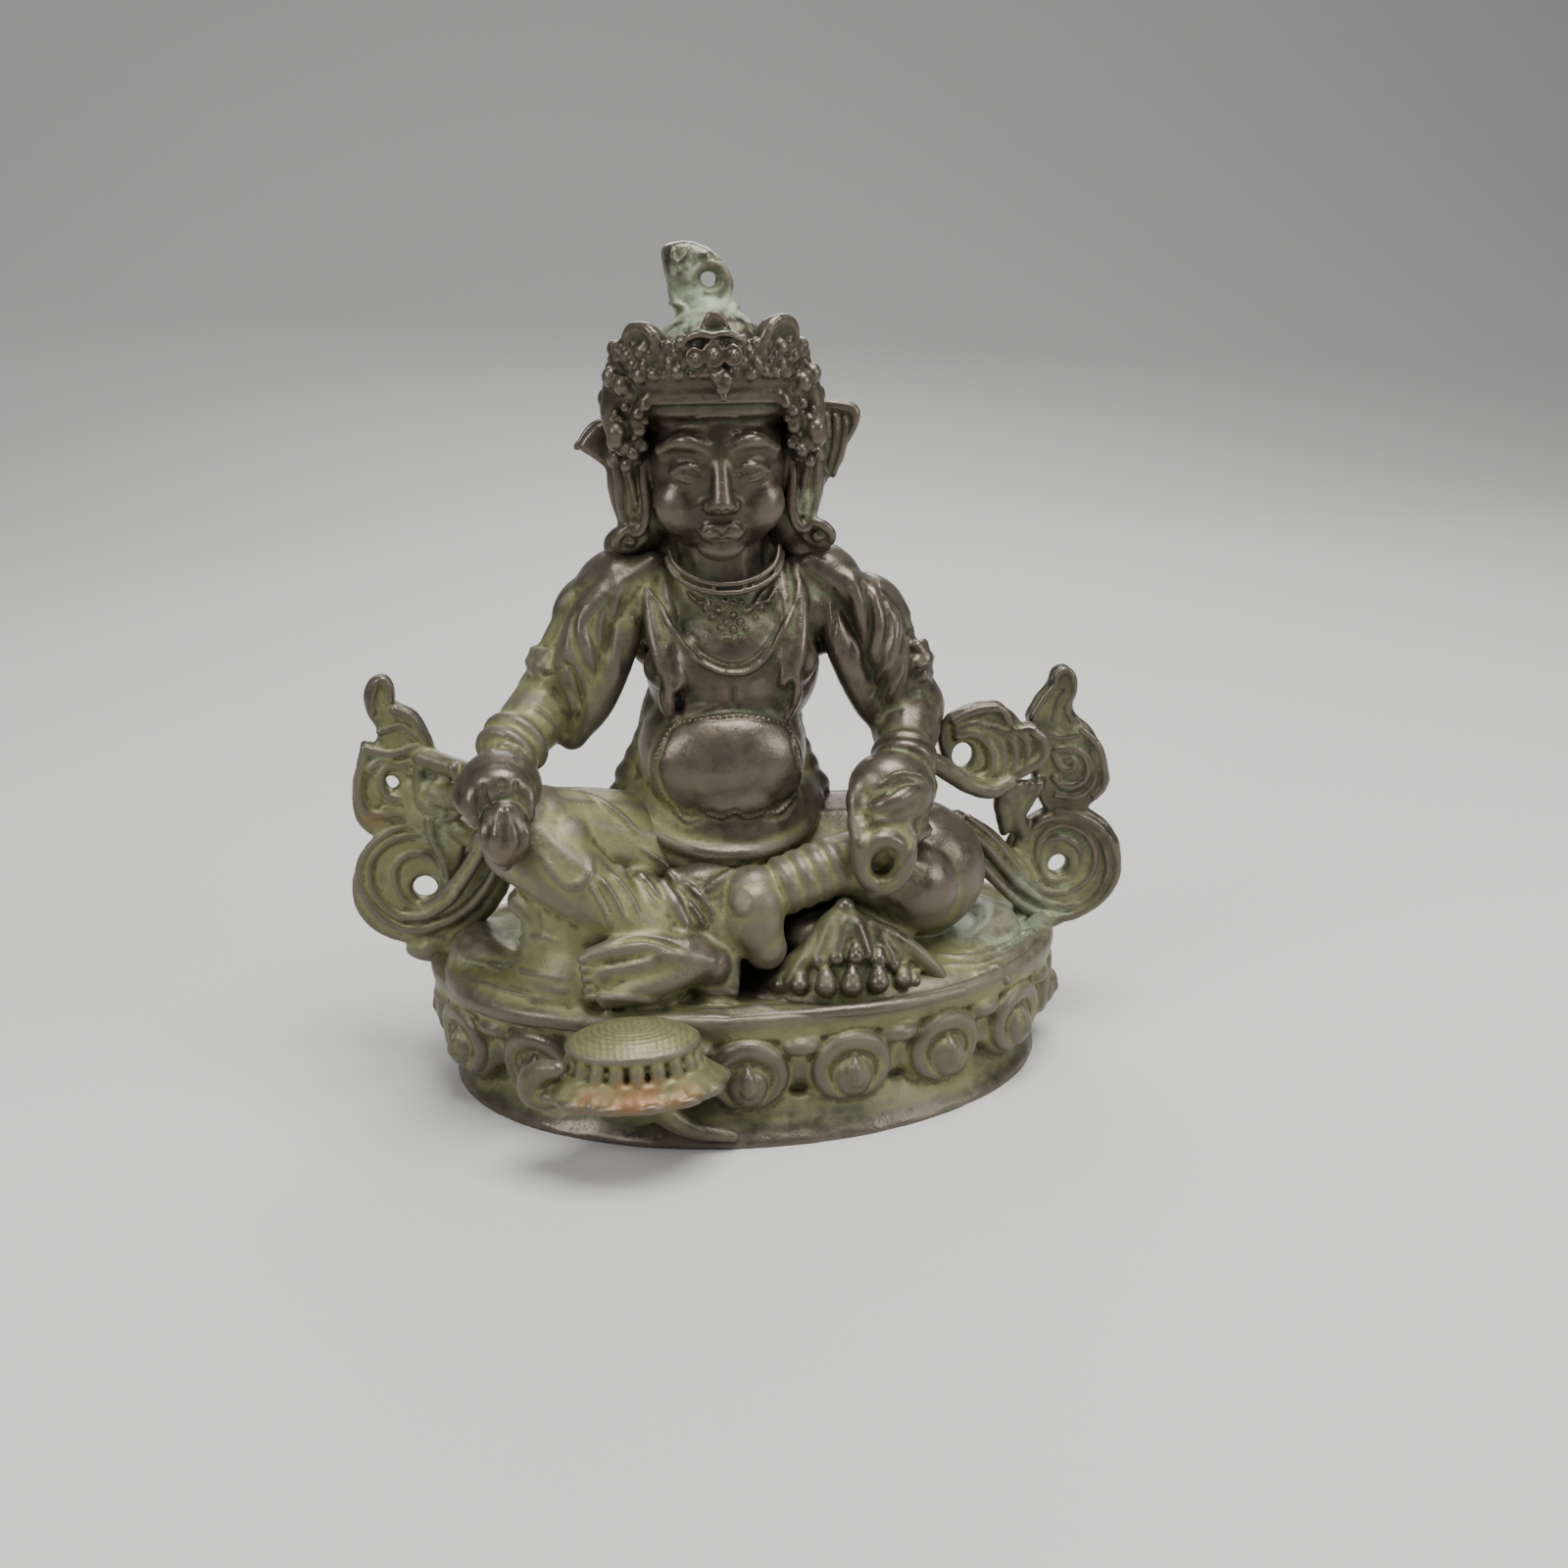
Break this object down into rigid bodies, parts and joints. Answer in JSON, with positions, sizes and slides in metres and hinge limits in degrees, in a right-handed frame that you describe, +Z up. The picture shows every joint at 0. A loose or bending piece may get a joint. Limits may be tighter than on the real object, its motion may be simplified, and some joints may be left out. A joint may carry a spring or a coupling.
{
  "type": "jambhala statue",
  "caption": "Small cast bronze figure of a pot-bellied wealth deity seated in royal ease on an oval lotus base, with scarf scrolls at both sides.",
  "frame": {"origin": "centre of the flat underside of the oval base", "axes": "+Z up, the figure faces -Y, +X towards the viewer's right"},
  "size_m": [0.0592, 0.0386, 0.0599],
  "materials": {
    "patinated_bronze": "worn brown bronze with olive and pale green patina in the recesses"
  },
  "bodies": {
    "root": {"jambhala_statue": "patinated_bronze"}
  },
  "joints": []
}
